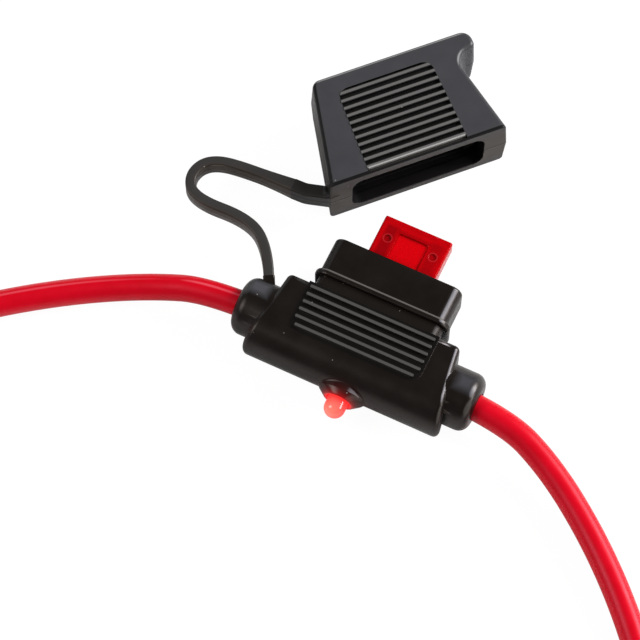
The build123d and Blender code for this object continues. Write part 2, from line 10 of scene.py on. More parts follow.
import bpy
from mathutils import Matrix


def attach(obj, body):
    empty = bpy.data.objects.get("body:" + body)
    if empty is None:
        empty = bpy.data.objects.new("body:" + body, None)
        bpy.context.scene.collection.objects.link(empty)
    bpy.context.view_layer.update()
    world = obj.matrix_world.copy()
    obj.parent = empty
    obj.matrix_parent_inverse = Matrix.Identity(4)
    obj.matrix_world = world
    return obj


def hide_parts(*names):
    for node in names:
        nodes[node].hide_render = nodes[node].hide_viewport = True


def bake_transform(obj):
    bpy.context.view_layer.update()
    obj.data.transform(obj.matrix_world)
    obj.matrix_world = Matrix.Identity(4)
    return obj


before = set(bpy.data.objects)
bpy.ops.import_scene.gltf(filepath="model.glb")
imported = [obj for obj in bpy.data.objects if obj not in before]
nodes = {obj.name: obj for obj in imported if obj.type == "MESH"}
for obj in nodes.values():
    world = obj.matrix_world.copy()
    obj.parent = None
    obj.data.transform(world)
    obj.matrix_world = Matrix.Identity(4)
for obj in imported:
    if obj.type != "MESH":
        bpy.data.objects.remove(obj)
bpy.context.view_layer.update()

# %% The rest of what this script uses
from collections import namedtuple

import bmesh
import bpy
import numpy as np
from mathutils import Quaternion, Vector

for name in ("Cube", "Light", "Camera"):
    if name in bpy.data.objects:
        bpy.data.objects.remove(bpy.data.objects[name])


def show(name, data):
    """A new object at the origin for a mesh, a lamp or a camera."""
    shown = bpy.data.objects.new(name, data)
    bpy.context.scene.collection.objects.link(shown)
    return shown


def look_from(seer, place, target, roll=0.0):
    """Puts a lamp or a camera at a place and turns it to the target."""
    seer.location = place
    seer.rotation_mode = "QUATERNION"
    towards = (Vector(target) - Vector(place)).to_track_quat("-Z", "Y")
    seer.rotation_quaternion = towards @ Quaternion((0, 0, 1), roll)


# %% [markdown]
# The camera stands nearly over the holder, 67 degrees up, and is turned so that
# the leads run down to the right. A long lens keeps the broad sides almost free
# of perspective, as in a catalogue picture.

# %% The camera
eye = Vector((0.1049, -0.2389, 0.6410))
aim = Vector((-0.0144, 0.0077, 0.0))

camera = show("camera", bpy.data.cameras.new("camera"))
camera.data.lens = 150.2
camera.data.sensor_width = 36
camera.data.clip_start, camera.data.clip_end = 0.02, 20
look_from(camera, eye, aim, roll=np.radians(-0.3))
bpy.context.scene.camera = camera
print("camera", round((aim - eye).length, 3), "m from the holder")

# %% [markdown]
# A material is a small program of nodes. A few helpers keep it short to write.
# They add a node and wire its sockets, start a material whose shader already
# reaches the output, and paint one colour over another.


# %% Helpers for nodes
def plug(tree, socket, value):
    """Wires another node's output into the socket, or sets the socket's own value."""
    if isinstance(value, bpy.types.NodeSocket):
        tree.links.new(value, socket)
    else:
        socket.default_value = value


def add(tree, kind, inputs=None, **settings):
    """A new node: settings are its own choices, inputs go to its sockets."""
    node = tree.nodes.new("ShaderNode" + kind)
    for key, value in settings.items():
        setattr(node, key, value)
    for key, value in (inputs or {}).items():
        plug(tree, node.inputs[key], value)
    return node


def calculate(tree, operation, a, b=0.0, clamp=False):
    """One step of arithmetic on values, such as MULTIPLY or SUBTRACT."""
    return add(tree, "Math", {0: a, 1: b}, operation=operation, use_clamp=clamp).outputs[0]


def noise(tree, place, scale, detail):
    """Soft random patches from 0 to 1, the smaller the larger the scale."""
    return add(tree, "TexNoise", {"Vector": place, "Scale": scale, "Detail": detail}).outputs["Fac"]


def between(tree, value, low, high):
    """low + value (high - low), for a value from 0 to 1."""
    return add(tree, "MapRange", {"Value": value, "To Min": low, "To Max": high}).outputs["Result"]


def mix(tree, factor, a, b):
    """The colour (1 - factor) a + factor b, with each a triple or a node's output."""
    a, b = (c if isinstance(c, bpy.types.NodeSocket) else (*c, 1) for c in (a, b))
    mixed = add(tree, "Mix", {"Factor": factor, "A": a, "B": b}, data_type="RGBA")
    return mixed.outputs["Result"]


def layered(tree, colour, layers):
    """The colour under layers of paint, each with a mask, a strength and a colour."""
    for mask, strength, laid_on in layers:
        colour = mix(tree, calculate(tree, "MULTIPLY", mask, strength), colour, laid_on)
    return colour


# %% [markdown]
# An effect that several materials share, such as grain or dust, is a node group.
# It is built once, and placed in each material with that material's own values.


# %% Helpers for materials and for effects that they share
def new_material(name):
    """A material with its tree, its shader and the coordinates of what it covers."""
    material = bpy.data.materials.new(name)
    material.use_nodes = True
    tree = material.node_tree
    return material, tree, tree.nodes["Principled BSDF"], add(tree, "TexCoord").outputs


def lift(tree, shader, height, strength, distance, edges=None):
    """Shades the surface as if it stood up by height times distance, in metres."""
    inputs = {"Height": height, "Strength": strength, "Distance": distance}
    if edges is not None:
        inputs["Normal"] = edges["Normal"]
    plug(tree, shader.inputs["Normal"], add(tree, "Bump", inputs).outputs["Normal"])


def new_group(name, inputs, outputs=None):
    """A shared effect: an empty node group with named sockets in and out.

    A default of three numbers makes a vector, one of four makes a colour, and a
    single one a value. Where no outputs are named, the group puts out one mask.
    """
    group = bpy.data.node_groups.new(name, "ShaderNodeTree")
    for label, value in inputs.items():
        kind = {3: "Vector", 4: "Color"}[len(value)] if isinstance(value, tuple) else "Float"
        socket = group.interface.new_socket(label, in_out="INPUT", socket_type="NodeSocket" + kind)
        socket.default_value = value
    for label, kind in (outputs or {"Mask": "Float"}).items():
        group.interface.new_socket(label, in_out="OUTPUT", socket_type="NodeSocket" + kind)
    given = group.nodes.new("NodeGroupInput").outputs
    made = group.nodes.new("NodeGroupOutput").inputs
    return group, given, made


def use(tree, group, inputs):
    """The group as one node of a material, with its own values."""
    return add(tree, "Group", inputs, node_tree=group).outputs


# %% [markdown]
# Soft moulded plastic copies its steel mould: a very fine sparked grain, with
# slow clouds where the melt flowed. The grain lifts the surface a little, and the
# clouds make some patches duller than others.

# %% The moulded skin, shared by all the black pieces
moulded_skin, given, made = new_group(
    "moulded skin",
    {
        "Place": (0, 0, 0),
        "Colour": (0.02, 0.02, 0.02, 1),
        "Cloud colour": (0.03, 0.03, 0.03, 1),
        "Roughness": 0.45,
    },
    {"Color": "Color", "Roughness": "Float", "Height": "Float"},
)
cloud_dullness, cloud_lift = 0.25, 2.0
clouds = noise(moulded_skin, given["Place"], scale=170.0, detail=3.0)
grain = noise(moulded_skin, given["Place"], scale=2600.0, detail=2.0)
plug(moulded_skin, made["Color"], mix(moulded_skin, clouds, given["Colour"], given["Cloud colour"]))
centred = calculate(moulded_skin, "SUBTRACT", clouds, 0.5)
duller = calculate(moulded_skin, "MULTIPLY", centred, cloud_dullness)
plug(moulded_skin, made["Roughness"], calculate(moulded_skin, "ADD", given["Roughness"], duller))
lifted = calculate(moulded_skin, "MULTIPLY", clouds, cloud_lift)
plug(moulded_skin, made["Height"], calculate(moulded_skin, "ADD", grain, lifted))
print("group", moulded_skin.name)

# %% [markdown]
# Where the two halves of a mould meet, a thin line of plastic stands up, with a
# dark seam beside it. It runs all round a piece at half its thickness, so its
# height above the table is all that it needs. A little noise makes it waver.

# %% The parting line, shared by all the black pieces
parting_line, given, made = new_group(
    "parting line", {"Place": (0, 0, 0), "Middle": 0.0087, "Width": 0.0003}
)
line_waver = 0.0004
height = add(parting_line, "SeparateXYZ", {0: given["Place"]}).outputs["Z"]
waver = noise(parting_line, given["Place"], scale=260.0, detail=1.0)
centred = calculate(parting_line, "SUBTRACT", waver, 0.5)
shift = calculate(parting_line, "MULTIPLY", centred, line_waver)
above = calculate(parting_line, "SUBTRACT", height, given["Middle"])
off = calculate(parting_line, "ABSOLUTE", calculate(parting_line, "ADD", above, shift))
share = calculate(parting_line, "DIVIDE", off, given["Width"])
plug(parting_line, made["Mask"], calculate(parting_line, "SUBTRACT", 1.0, share, clamp=True))
print("group", parting_line.name)

# %% [markdown]
# Some marks lie in known places, such as the painted shade on the floors of the
# grooves between the grip ribs. A soft-edged box picks them out: a point
# p is inside when low < p < high on all three axes.

# %% A soft-edged box, shared by the black pieces and the fuse
soft_box, given, made = new_group(
    "soft box", {"Place": (0, 0, 0), "Low": (0, 0, 0), "High": (1, 1, 1), "Fade": 0.0001}
)
sides = []
for first, second in ((given["Place"], given["Low"]), (given["High"], given["Place"])):
    into = add(soft_box, "VectorMath", {0: first, 1: second}, operation="SUBTRACT")
    sides += list(add(soft_box, "SeparateXYZ", {0: into.outputs["Vector"]}).outputs)
least = sides[0]
for side in sides[1:]:
    least = calculate(soft_box, "MINIMUM", least, side)
plug(soft_box, made["Mask"], calculate(soft_box, "DIVIDE", least, given["Fade"], clamp=True))


def boxed(tree, place, low, high, fade=0.0001):
    """The mask of a soft-edged box, given by two corners and the width of its edge."""
    return use(tree, soft_box, {"Place": place, "Low": low, "High": high, "Fade": fade})["Mask"]


print("group", soft_box.name)

# %% [markdown]
# Only the middle of a rib's top gets a painted highlight. The ribs repeat along Y,
# so the distance from the nearest rib's middle is |y - first| folded at each pitch.

# %% Stripes of painted highlight along the ribs, shared by the grips
rib_stripes, given, made = new_group(
    "rib stripes", {"Place": (0, 0, 0), "First": 0.0, "Half width": 0.00044}
)
rib_pitch, stripe_fade = 0.00225, 0.00012
across_ribs = add(rib_stripes, "SeparateXYZ", {0: given["Place"]}).outputs["Y"]
from_first = calculate(rib_stripes, "SUBTRACT", across_ribs, given["First"])
folded = calculate(rib_stripes, "PINGPONG", from_first, rib_pitch / 2)
inside = calculate(rib_stripes, "SUBTRACT", given["Half width"], folded)
plug(rib_stripes, made["Mask"], calculate(rib_stripes, "DIVIDE", inside, stripe_fade, clamp=True))
print("group", rib_stripes.name)

# %% [markdown]
# Pale lines of painted highlight lie along the rounded edges, and the sides below
# them get painted shade. A rounded edge passes through every direction between its
# two faces, and the mask picks the band where the surface faces a given way. The
# directions are the object's own, so the lines stay where they are when the cap
# swings.

# %% A band that faces one way, shared by the black pieces and the leads
facing, given, made = new_group(
    "facing one way", {"Outward": (0, 0, 1), "Way": (0, 0, 1), "From": 0.95, "Full": 0.99}
)
both = {0: given["Outward"], 1: given["Way"]}
towards = add(facing, "VectorMath", both, operation="DOT_PRODUCT").outputs["Value"]
band = {"Value": towards, "From Min": given["From"], "From Max": given["Full"]}
plug(facing, made["Mask"], add(facing, "MapRange", band).outputs["Result"])


def faced(tree, outward, way, start, full):
    """The mask of what faces the way: 0 at the start's cosine and 1 at full."""
    return use(tree, facing, {"Outward": outward, "Way": way, "From": start, "Full": full})["Mask"]


print("group", facing.name)

# %% [markdown]
# Soft plastic draws dust. A Voronoi pattern drops one point in each of its
# cells, and only the cells whose random colour is high keep a speck.

# %% Specks of dust, shared by all the black pieces
dust, given, made = new_group("dust", {"Place": (0, 0, 0), "Size": 0.042})
cells_per_metre, empty_share = 290.0, 0.55
cells = add(dust, "TexVoronoi", {"Vector": given["Place"], "Scale": cells_per_metre}).outputs
speck = calculate(dust, "LESS_THAN", cells["Distance"], given["Size"])
lot = add(dust, "SeparateColor", {0: cells["Color"]}).outputs[0]
chosen = calculate(dust, "GREATER_THAN", lot, empty_share)
plug(dust, made["Mask"], calculate(dust, "MULTIPLY", speck, chosen))
print("group", dust.name)

# %% [markdown]
# No moulded or stamped edge is truly sharp. The Bevel node bends the shading near
# an edge as if it were rounded, and how far it bends also says where hands and
# pockets have rubbed the edge pale.

# %% Soft edges, shared by all the hard pieces
soft_edges, given, made = new_group(
    "soft edges", {"Radius": 0.0002}, {"Normal": "Vector", "Rubbed": "Float"}
)
rubbed_gain = 4.0
rounded = add(soft_edges, "Bevel", {"Radius": given["Radius"]}, samples=6).outputs["Normal"]
true_normal = add(soft_edges, "NewGeometry").outputs["Normal"]
both = {0: rounded, 1: true_normal}
agree = add(soft_edges, "VectorMath", both, operation="DOT_PRODUCT").outputs["Value"]
bent = calculate(soft_edges, "SUBTRACT", 1.0, agree)
plug(soft_edges, made["Normal"], rounded)
plug(soft_edges, made["Rubbed"], calculate(soft_edges, "MULTIPLY", bent, rubbed_gain, clamp=True))
print("group", soft_edges.name)

# %% [markdown]
# The cap lies turned on the table. A point p is at T (p - mouth) in the cap's own
# frame, where T turns it back and y runs from the mouth to the closed end. A
# Mapping node turns first and then moves, so it needs the move -T mouth.

# %% Where the black pieces lie
body_middle, cap_middle = 0.0087, 0.0095
cap_at = np.array([-0.00735, 0.05315])
cap_turn = np.radians(46.4)
turned_back = np.array(
    [(np.cos(cap_turn), np.sin(cap_turn)), (-np.sin(cap_turn), np.cos(cap_turn))]
)
cap_origin = -turned_back @ cap_at
print("the mouth of the cap is at", cap_at)

# %% [markdown]
# The black plastics use the same shared effects with their own values, so three
# short lists say how they differ. A grip has its outline in plan, the heights of its
# groove floors and rib tops above the middle of the piece, and the colours of its
# painted groove shade and rib highlight. A patch is a box of another colour, and a
# gleam is a painted highlight or painted shade on an edge or side that faces one way.

# %% What a black plastic is described by
Grip = namedtuple("Grip", "low high floor top first_rib groove rib")
Patch = namedtuple("Patch", "low high fade strength colour")
Gleam = namedtuple("Gleam", "way start full strength colour")
# The box of the rib tops starts just below them. The box of the grooves starts
# below their floors and ends well below the tops.
below_top, below_floor, short_of_top, groove_fade = 0.00009, 0.00008, 0.00018, 0.00006


def grip_layers(tree, place, middle, grip):
    """Painted shade over the whole grip and in the grooves, and a painted highlight along the
    middle of each rib.
    """
    (left, low), (right, high) = grip.low, grip.high
    floor, top = middle + grip.floor, middle + grip.top
    on_top = boxed(tree, place, (left, low, top - below_top), (right, high, 1))
    corners = (left, low, floor - below_floor), (right, high, top - short_of_top)
    in_groove = boxed(tree, place, *corners, fade=groove_fade)
    stripes = use(tree, rib_stripes, {"Place": place, "First": grip.first_rib})["Mask"]
    rib_highlight = calculate(tree, "MULTIPLY", on_top, stripes)
    return [(on_top, 1.0, grip.groove), (rib_highlight, 1.0, grip.rib), (in_groove, 1.0, grip.groove)]


print("a grip has", ", ".join(Grip._fields))

# %% [markdown]
# The colours are laid on in order: the skin, the gleams, the grip, the rubbed
# edges, the patches, and last the seam and the dust, which lie over all. The lamp's
# red light on the plastic round its mouth is painted as a glow, which fades with the
# distance r as (reach / r) to the power 8, so only its rim glows.

# %% How a black plastic is built
lamp_mouth = (0.0010, -0.0146, body_middle)
lamp_reach, lamp_fall = 0.0036, 8.0
glow_colour, glow_strength = (1.0, 0.004, 0.008), 0.85
edge_radius, rubbed_strength = 0.00014, 0.3
seam_width, seam_colour, seam_strength = 0.0003, (0.001, 0.001, 0.001), 0.9
ridge_width, ridge_lift = 0.0004, 9.0
dust_colour, dust_strength = (0.35, 0.33, 0.30), 0.8


def moulded_black(name, middle, skin, cloud, rubbed, roughness, specular, mirrored,
                  grip=None, patches=(), gleams=(), cap_frame=False, lit=False):
    """Soft black plastic whose mould parts at the height of its middle.

    skin, cloud and rubbed are colours, and mirrored tints what it mirrors. With
    cap_frame, the grip and the patches are placed in the cap's own frame.
    """
    material, tree, shader, coordinates = new_material(name)
    place = coordinates["Object"]
    own_place = place
    if cap_frame:
        turn = {"Vector": place, "Rotation": (0, 0, -cap_turn), "Location": (*cap_origin, 0)}
        own_place = add(tree, "Mapping", turn).outputs["Vector"]
    edges = use(tree, soft_edges, {"Radius": edge_radius})
    colours = {"Colour": (*skin, 1), "Cloud colour": (*cloud, 1)}
    base = use(tree, moulded_skin, {"Place": place, **colours, "Roughness": roughness})

    layers = []
    for way, start, full, strength, colour in gleams:
        mask = faced(tree, coordinates["Normal"], way, start, full)
        layers.append((mask, strength, colour))
    if grip is not None:
        layers += grip_layers(tree, own_place, middle, grip)
    layers.append((edges["Rubbed"], rubbed_strength, rubbed))
    for low, high, fade, strength, colour in patches:
        layers.append((boxed(tree, own_place, low, high, fade), strength, colour))
    at_middle = {"Place": place, "Middle": middle}
    seam = use(tree, parting_line, {**at_middle, "Width": seam_width})["Mask"]
    layers.append((seam, seam_strength, seam_colour))
    specks = use(tree, dust, {"Place": place})["Mask"]
    layers.append((specks, dust_strength, dust_colour))
    plug(tree, shader.inputs["Base Color"], layered(tree, base["Color"], layers))

    plug(tree, shader.inputs["Roughness"], base["Roughness"])
    shader.inputs["Specular IOR Level"].default_value = specular
    shader.inputs["Specular Tint"].default_value = (*mirrored, 1)
    ridge = use(tree, parting_line, {**at_middle, "Width": ridge_width})["Mask"]
    ridge = calculate(tree, "MULTIPLY", ridge, ridge_lift)
    relief = calculate(tree, "ADD", base["Height"], ridge)
    lift(tree, shader, relief, strength=0.35, distance=0.00002, edges=edges)
    # the lamp's red light on the plastic round its mouth, painted as a glow
    if lit:
        ends = {0: place, 1: lamp_mouth}
        r = add(tree, "VectorMath", ends, operation="DISTANCE").outputs["Value"]
        ratio = calculate(tree, "DIVIDE", lamp_reach, r)
        near = calculate(tree, "POWER", ratio, lamp_fall, clamp=True)
        plug(tree, shader.inputs["Emission Color"], mix(tree, near, (0, 0, 0), glow_colour))
        shader.inputs["Emission Strength"].default_value = glow_strength
    return material


print("the lamp reddens the plastic for", round(lamp_reach * 1000, 1), "mm")

# %% [markdown]
# The housing is dark and slightly shiny. Its sealing bead has a painted highlight,
# paler than the waist behind it, and the tops of the two collars have painted
# highlights too.

# %% The black of the housing
housing_black = moulded_black(
    "housing_black",
    body_middle,
    skin=(0.0022, 0.0013, 0.0009),
    cloud=(0.0048, 0.0034, 0.0027),
    rubbed=(0.050, 0.045, 0.040),
    roughness=0.34,
    specular=0.30,
    mirrored=(1.0, 0.86, 0.80),
    grip=Grip(
        low=(-0.0184, -0.0042),
        high=(0.0184, 0.0101),
        floor=0.00802,
        top=0.00870,
        first_rib=0.00865,
        # painted shade in the grooves and a painted highlight along the ribs
        groove=(0.0012, 0.0012, 0.0012),
        rib=(0.070, 0.067, 0.065),
    ),
    patches=[
        # the painted highlight on the bead, the waist behind it, and the painted highlights on the
        # tops of the two collars
        Patch(
            (-0.0186, 0.0149, body_middle + 0.0062), (0.0186, 0.0158, 1),
            0.00025, 0.9, (0.115, 0.108, 0.100),
        ),
        Patch(
            (-0.0192, 0.0100, body_middle + 0.0050), (0.0192, 0.0139, body_middle + 0.0072),
            0.0002, 0.8, (0.0060, 0.0042, 0.0030),
        ),
        Patch(
            (-0.0330, 0.0002, body_middle + 0.0044), (-0.0256, 0.0066, 1),
            0.0022, 0.85, (0.060, 0.061, 0.070),
        ),
        Patch(
            (0.0258, -0.0016, body_middle + 0.0050), (0.0325, 0.0052, 1),
            0.0024, 0.8, (0.048, 0.048, 0.056),
        ),
    ],
    gleams=[
        # painted highlights on the round right end, the edge below it, and the far left shoulder
        Gleam((0.40, 0.08, 0.91), 0.965, 0.992, 0.85, (0.18, 0.18, 0.20)),
        Gleam((0.58, -0.45, 0.68), 0.950, 0.985, 0.55, (0.085, 0.078, 0.070)),
        Gleam((-0.45, 0.25, 0.86), 0.940, 0.990, 0.22, (0.12, 0.12, 0.12)),
    ],
    lit=True,
)
print("material", housing_black.name)

# %% [markdown]
# The cap comes from another mould and another batch, so it is greyer and duller.
# The face of its mouth is darker and browner, and the top just behind the mouth's
# rim has a pale line of painted highlight.

# %% The black of the cap
cap_black = moulded_black(
    "cap_black",
    cap_middle,
    skin=(0.038, 0.038, 0.043),
    cloud=(0.049, 0.048, 0.054),
    rubbed=(0.10, 0.095, 0.09),
    roughness=0.44,
    specular=0.20,
    mirrored=(1.0, 0.95, 0.92),
    grip=Grip(
        low=(-0.0141, 0.0007),
        high=(0.0141, 0.0260),
        floor=0.00850,
        top=0.00950,
        first_rib=0.0247,
        # painted shade in the grooves and a painted highlight along the ribs
        groove=(0.002, 0.002, 0.002),
        rib=(0.125, 0.122, 0.118),
    ),
    patches=[
        # the face of the mouth, and painted shade in the bore
        Patch(
            (-0.03, -0.0010, -1), (0.03, 0.0004, 1),
            0.00025, 1.0, (0.033, 0.026, 0.021),
        ),
        Patch(
            (-0.0190, 0.0004, cap_middle - 0.0072), (0.0190, 0.0285, cap_middle + 0.0072),
            0.0001, 0.9, (0.004, 0.003, 0.003),
        ),
        # behind the rim: painted shade as a black line, a grey band, and a painted highlight as a
        # pale line
        Patch(
            (-0.03, 0.0001, cap_middle + 0.0088), (0.03, 0.0012, 1),
            0.00015, 0.95, (0.001, 0.001, 0.001),
        ),
        Patch(
            (-0.0136, 0.0006, cap_middle + 0.0084), (0.0136, 0.0018, cap_middle + 0.0092),
            0.00015, 0.9, (0.050, 0.045, 0.040),
        ),
        Patch(
            (-0.0136, 0.0015, cap_middle + 0.0086), (0.0136, 0.0021, 1),
            0.00012, 0.9, (0.36, 0.35, 0.34),
        ),
        # the root of the strap
        Patch((-0.06, -0.02, -1), (-0.0252, 0.03, 1), 0.0003, 1.0, (0.020, 0.019, 0.018)),
    ],
    gleams=[
        # painted shade on the left side and its edge and on the far side, and painted highlights on
        # the far edge and the right edge
        Gleam((-0.69, -0.72, 0.05), 0.70, 0.90, 0.95, (0.014, 0.011, 0.009)),
        Gleam((-0.49, -0.51, 0.70), 0.80, 0.90, 0.97, (0.001, 0.001, 0.001)),
        Gleam((-0.68, 0.65, 0.34), 0.80, 0.90, 0.8, (0.008, 0.008, 0.008)),
        Gleam((-0.27, 0.26, 0.927), 0.975, 0.992, 0.9, (0.24, 0.24, 0.24)),
        Gleam((0.50, 0.10, 0.86), 0.95, 0.985, 0.7, (0.19, 0.19, 0.195)),
    ],
    cap_frame=True,
)
print("material", cap_black.name)

# %% [markdown]
# The strap is of the cap's plastic, but it is smooth all round and looks darker.
# It is greyer on its flat top, a painted highlight, and browner on its side towards
# the camera, and the edge towards the camera has a line of painted shade above a
# line of painted highlight.

# %% The black of the strap
strap_black = moulded_black(
    "strap_black",
    body_middle + 0.0003,
    skin=(0.016, 0.015, 0.015),
    cloud=(0.026, 0.024, 0.024),
    rubbed=(0.05, 0.05, 0.05),
    roughness=0.40,
    specular=0.34,
    mirrored=(1.0, 0.88, 0.80),
    gleams=[
        # a painted highlight on the top, the browner side, and the lines of painted shade and
        # painted highlight on its edge
        Gleam((0.0, 0.0, 1.0), 0.90, 0.98, 0.6, (0.035, 0.034, 0.034)),
        Gleam((0.35, -0.88, 0.32), 0.30, 0.80, 0.9, (0.030, 0.021, 0.014)),
        Gleam((0.25, -0.58, 0.77), 0.955, 0.985, 0.9, (0.003, 0.002, 0.002)),
        Gleam((0.33, -0.78, 0.53), 0.965, 0.99, 0.9, (0.16, 0.13, 0.105)),
    ],
)
print("material", strap_black.name)

# %% [markdown]
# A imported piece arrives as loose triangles. A merged copy can be shaded smooth.
# Triangles in one plane are joined into one face first, so that normals weighted
# by area keep the flat faces flat and let the fillets flow between them.

# %% Smooth copies of the moulded pieces
flat_below, smooth_below = np.radians(0.4), np.radians(35)


def smooth_copy(node, name, material):
    """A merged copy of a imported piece, shaded smooth below the named angle."""
    mesh = nodes[node].data.copy()
    mesh.name = name
    shell = bmesh.new()
    shell.from_mesh(mesh)
    bmesh.ops.remove_doubles(shell, verts=shell.verts, dist=1e-7)
    bmesh.ops.dissolve_limit(
        shell, angle_limit=flat_below, verts=shell.verts, edges=shell.edges
    )
    shell.to_mesh(mesh)
    shell.free()
    mesh.shade_smooth()
    mesh.set_sharp_from_angle(angle=smooth_below)
    mesh.materials.clear()
    mesh.materials.append(material)
    piece = show(name, mesh)
    weights = piece.modifiers.new("weighted normals", "WEIGHTED_NORMAL")
    weights.keep_sharp = True
    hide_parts(node)
    return piece


housing = smooth_copy("housing", "housing_skin", housing_black)
cap = smooth_copy("cap", "cap_skin", cap_black)
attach(housing, "holder")
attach(cap, "cap")
for piece in (housing, cap):
    print(piece.name, "has", len(piece.data.vertices), "points")

# %% [markdown]
# The leads and the strap are sections carried along a line. The line is a NURBS
# spline steered by a few control points, as a cable designer would set it out,
# and Blender itself works out its points. The section is then placed at each point,
# square to the line, as one array.


# %% Helpers for lines
def line_points(route, resolution=40):
    """Points of the NURBS line that the control points of the route define."""
    curve = bpy.data.curves.new("line", "CURVE")
    curve.dimensions = "3D"
    spline = curve.splines.new("NURBS")
    spline.points.add(len(route) - 1)
    spline.points.foreach_set("co", np.c_[np.array(route), np.ones(len(route))].ravel())
    spline.order_u = 3
    spline.use_endpoint_u = True
    spline.resolution_u = resolution
    carrier = bpy.data.objects.new("line", curve)
    mesh = bpy.data.meshes.new_from_object(carrier)
    points = np.empty(len(mesh.vertices) * 3)
    mesh.vertices.foreach_get("co", points)
    bpy.data.objects.remove(carrier)
    bpy.data.curves.remove(curve)
    bpy.data.meshes.remove(mesh)
    return points.reshape(-1, 3)


def line_length(line):
    """The line's length: the sum of the distances from point to point."""
    return float(np.linalg.norm(np.diff(line, axis=0), axis=1).sum())


def unit(vectors):
    """The vectors at length one."""
    return vectors / np.linalg.norm(vectors, axis=-1, keepdims=True)


def square_to(forward):
    """side, square to each forward direction and level, and up, square to both."""
    side = unit(np.cross(forward, (0, 0, 1)))
    return side, np.cross(side, forward)


# %% Helpers for carried sections
def circle(count):
    """The unit circle as an array of points (cos t, sin t)."""
    t = np.linspace(0, 2 * np.pi, count, endpoint=False)
    return np.stack([np.cos(t), np.sin(t)], axis=1)


def carried(line, section, scale=None, forward=None):
    """Grid points[i, j] = line[i] + scale[i] (side[i] x_j + up[i] y_j).

    forward is the direction at each point, if it isn't the line's own.
    """
    forward = unit(np.gradient(line, axis=0)) if forward is None else forward
    scale = np.ones((len(line), 2)) if scale is None else scale
    side, up = square_to(forward)
    sideways = scale[:, None, :1] * side[:, None] * section[None, :, :1]
    upwards = scale[:, None, 1:] * up[:, None] * section[None, :, 1:]
    return line[:, None] + sideways + upwards


def grid_uv(points, i, j):
    """Metres round the section and along the line, at the corners of each quad."""
    middle_ring = points[len(points) // 2]
    along = np.linalg.norm(np.diff(points.mean(axis=1), axis=0), axis=1)
    across = np.linalg.norm(np.diff(middle_ring, axis=0, append=middle_ring[:1]), axis=1)
    along, across = np.r_[0, np.cumsum(along)], np.r_[0, np.cumsum(across)]
    corners = ((j, i), (j + 1, i), (j + 1, i + 1), (j, i + 1))
    return np.stack([np.stack([across[a], along[b]], axis=1) for a, b in corners], axis=1)


def grid_piece(name, points, material, caps=True, smooth=40):
    """A closed surface on a grid that wraps round in its second direction.

    Quad (i, j) joins the points i and i + 1 along and j and j + 1 round.
    """
    rows, columns = points.shape[:2]
    steps = np.meshgrid(np.arange(rows - 1), np.arange(columns), indexing="ij")
    i, j = (step.ravel() for step in steps)
    k = (j + 1) % columns
    corners = [i * columns + j, i * columns + k, (i + 1) * columns + k, (i + 1) * columns + j]
    faces = np.stack(corners, axis=1).tolist()
    if caps:
        faces += [list(range(columns)), list(range((rows - 1) * columns, rows * columns))]
    mesh = bpy.data.meshes.new(name)
    mesh.from_pydata(points.reshape(-1, 3).tolist(), [], faces)
    spread = grid_uv(points, i, j).reshape(-1, 2)
    values = np.zeros((len(mesh.loops), 2))
    values[: len(spread)] = spread
    mesh.uv_layers.new(name="UVMap").data.foreach_set("uv", values.ravel())
    shell = bmesh.new()
    shell.from_mesh(mesh)
    bmesh.ops.remove_doubles(shell, verts=shell.verts, dist=1e-8)
    bmesh.ops.recalc_face_normals(shell, faces=shell.faces)
    shell.to_mesh(mesh)
    shell.free()
    mesh.shade_smooth()
    mesh.set_sharp_from_angle(angle=np.radians(smooth))
    mesh.materials.append(material)
    return show(name, mesh)


print("a circle of 8 starts", circle(8)[:2].round(2).tolist())

# %% [markdown]
# The sleeve of a lead is plastic pushed out of a round die, so any marks on it
# run lengthwise. It is glossy, with a slight waviness that breaks the highlight,
# and a pale line of painted highlight runs along its top.

# %% The red of the leads
lead_red, tree, shader, coordinates = new_material("lead_red")
lengthwise = {"Vector": coordinates["UV"], "Scale": (900.0, 25.0, 1.0)}
lengthwise = add(tree, "Mapping", lengthwise).outputs["Vector"]
draw_lines = noise(tree, lengthwise, scale=1.0, detail=2.0)
waves = noise(tree, coordinates["Object"], scale=240.0, detail=2.0)
tint = mix(tree, waves, (0.52, 0.0, 0.006), (0.65, 0.0, 0.013))
# a painted highlight along the top of each lead
top_highlight = faced(tree, coordinates["Normal"], (-0.10, 0.21, 0.97), 0.988, 0.998)
tint = layered(tree, tint, [(top_highlight, 0.55, (0.80, 0.13, 0.17))])
plug(tree, shader.inputs["Base Color"], tint)
plug(tree, shader.inputs["Roughness"], between(tree, waves, 0.30, 0.42))
relief = calculate(tree, "ADD", draw_lines, calculate(tree, "MULTIPLY", waves, 3.0))
lift(tree, shader, relief, strength=0.25, distance=0.00004)
shader.inputs["Specular IOR Level"].default_value = 0.4
shader.inputs["Specular Tint"].default_value = (1, 0.30, 0.40, 1)
print("material", lead_red.name)

# %% [markdown]
# The core of a lead is bare copper wire. A metal has no paint under its shine and
# only tints what it mirrors, so the shader is fully metallic. Noise varies the
# tint and the dullness, as air and fingers stain copper.

# %% The copper of the strands
copper, tree, shader, coordinates = new_material("copper")
stain = noise(tree, coordinates["Object"], scale=900.0, detail=3.0)
tint = mix(tree, stain, (0.72, 0.33, 0.17), (0.90, 0.50, 0.32))
plug(tree, shader.inputs["Base Color"], tint)
plug(tree, shader.inputs["Roughness"], between(tree, stain, 0.22, 0.4))
shader.inputs["Metallic"].default_value = 1.0
print("material", copper.name)

# %% [markdown]
# Each lead leaves its collar straight, comes down to the table under its own
# weight and lies there in an easy curve. It is cut short just outside the
# picture, and its end is stripped, as a fitter would prepare it. The sleeve ends
# in a square cut with a wall to it, so the strands can be seen to come out.

